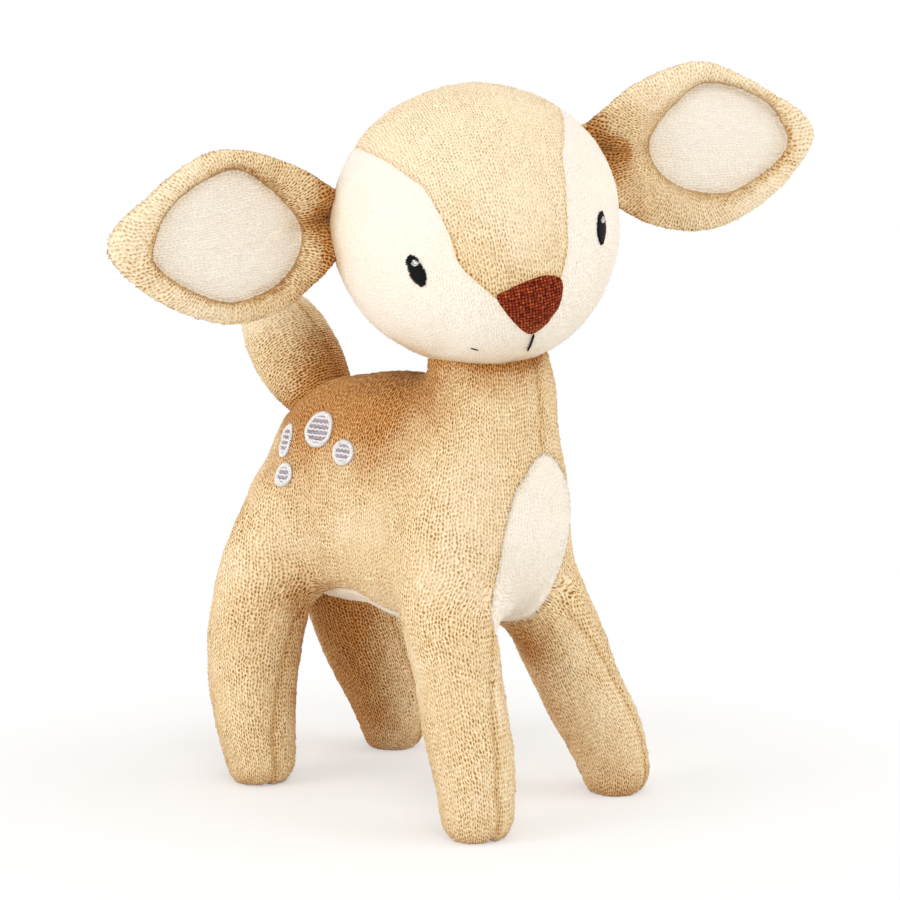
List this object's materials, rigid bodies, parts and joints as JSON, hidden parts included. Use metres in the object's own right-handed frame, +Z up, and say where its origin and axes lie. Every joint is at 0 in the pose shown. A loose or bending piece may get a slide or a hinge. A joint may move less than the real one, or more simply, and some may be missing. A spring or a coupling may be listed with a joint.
{
  "type": "plush deer",
  "caption": "Standing plush fawn with a round turned head, wide leaf-shaped ears, cream face and bib, woven nose, spotted haunches, upright tail and four splayed legs.",
  "frame": {"origin": "on the floor under the middle of the toy's bounding box", "axes": "+Z up, the body faces -Y and its left side is on +X; the head is turned to its right"},
  "size_m": [0.1899, 0.1698, 0.2342],
  "materials": {
    "sandy_pile": "short velour pile",
    "cream_pile": "smooth velour pile",
    "russet_weave": "coarse woven cloth",
    "black_thread": "satin stitch",
    "white_thread": "satin stitch",
    "lilac_thread": "satin stitch with a white border",
    "fibre_filling": "loose polyester fibre"
  },
  "bodies": {
    "torso": {"body_side_right": "sandy_pile", "body_side_left": "sandy_pile", "chest_bib": "cream_pile", "belly_panel": "cream_pile", "body_filling": "fibre_filling", "spot_right_1": "lilac_thread", "spot_right_2": "lilac_thread", "spot_right_3": "lilac_thread", "spot_right_4": "lilac_thread", "spot_left_1": "lilac_thread", "spot_left_2": "lilac_thread", "spot_left_3": "lilac_thread", "spot_left_4": "lilac_thread"},
    "neck": {"neck_right": "sandy_pile", "neck_left": "sandy_pile", "neck_filling": "fibre_filling"},
    "head": {"forehead_blaze": "sandy_pile", "cheek_right": "cream_pile", "cheek_left": "cream_pile", "head_back_right": "sandy_pile", "head_back_left": "sandy_pile", "nose_patch": "russet_weave", "head_filling": "fibre_filling", "eye_right": "black_thread", "eye_left": "black_thread", "mouth_line": "black_thread", "smile_stitch_right": "black_thread", "eye_glint_right": "white_thread", "eye_glint_left": "white_thread"},
    "ear_right": {"ear_right_back": "sandy_pile", "ear_right_rim": "sandy_pile", "ear_right_inner": "cream_pile", "ear_right_filling": "fibre_filling"},
    "ear_left": {"ear_left_back": "sandy_pile", "ear_left_rim": "sandy_pile", "ear_left_inner": "cream_pile", "ear_left_filling": "fibre_filling"},
    "tail": {"tail_right": "sandy_pile", "tail_left": "sandy_pile", "tail_filling": "fibre_filling"},
    "leg_front_right": {"leg_front_right_outer": "sandy_pile", "leg_front_right_inner": "sandy_pile", "leg_front_right_filling": "fibre_filling"},
    "leg_front_left": {"leg_front_left_outer": "sandy_pile", "leg_front_left_inner": "sandy_pile", "leg_front_left_filling": "fibre_filling"},
    "leg_rear_right": {"leg_rear_right_outer": "sandy_pile", "leg_rear_right_inner": "sandy_pile", "leg_rear_right_filling": "fibre_filling"},
    "leg_rear_left": {"leg_rear_left_outer": "sandy_pile", "leg_rear_left_inner": "sandy_pile", "leg_rear_left_filling": "fibre_filling"}
  },
  "joints": [
    {"name": "neck_bend", "type": "hinge", "parent": "torso", "child": "neck", "pos_m": [0.00532, -0.021, 0.1102], "axis": [1, 0, 0], "range_deg": [-12, 12], "stiffness_Nm_per_rad": 0.5},
    {"name": "head_turn", "type": "hinge", "parent": "neck", "child": "head", "pos_m": [0.00532, -0.0165, 0.1845], "axis": [0, 0, 1], "range_deg": [-12, 35], "stiffness_Nm_per_rad": 0.3},
    {"name": "ear_right_flap", "type": "hinge", "parent": "head", "child": "ear_right", "pos_m": [-0.02487, 0.01377, 0.18667], "axis": [0.167, -0.0613, -0.984], "range_deg": [-25, 25], "stiffness_Nm_per_rad": 0.05},
    {"name": "ear_left_flap", "type": "hinge", "parent": "head", "child": "ear_left", "pos_m": [0.03986, -0.03178, 0.20655], "axis": [-0.0688, -0.0525, 0.9963], "range_deg": [-25, 25], "stiffness_Nm_per_rad": 0.05},
    {"name": "tail_wag", "type": "hinge", "parent": "torso", "child": "tail", "pos_m": [0.00532, 0.0495, 0.1232], "axis": [1, 0, 0], "range_deg": [-12, 25], "stiffness_Nm_per_rad": 0.03},
    {"name": "leg_front_right_swing", "type": "hinge", "parent": "torso", "child": "leg_front_right", "pos_m": [-0.01718, -0.023, 0.0682], "axis": [1, 0, 0], "range_deg": [-12, 12], "stiffness_Nm_per_rad": 0.4},
    {"name": "leg_front_left_swing", "type": "hinge", "parent": "torso", "child": "leg_front_left", "pos_m": [0.02782, -0.023, 0.0682], "axis": [1, 0, 0], "range_deg": [-12, 12], "stiffness_Nm_per_rad": 0.4},
    {"name": "leg_rear_right_swing", "type": "hinge", "parent": "torso", "child": "leg_rear_right", "pos_m": [-0.01368, 0.061, 0.0652], "axis": [1, 0, 0], "range_deg": [-12, 12], "stiffness_Nm_per_rad": 0.4},
    {"name": "leg_rear_left_swing", "type": "hinge", "parent": "torso", "child": "leg_rear_left", "pos_m": [0.02432, 0.061, 0.0652], "axis": [1, 0, 0], "range_deg": [-12, 12], "stiffness_Nm_per_rad": 0.4}
  ]
}
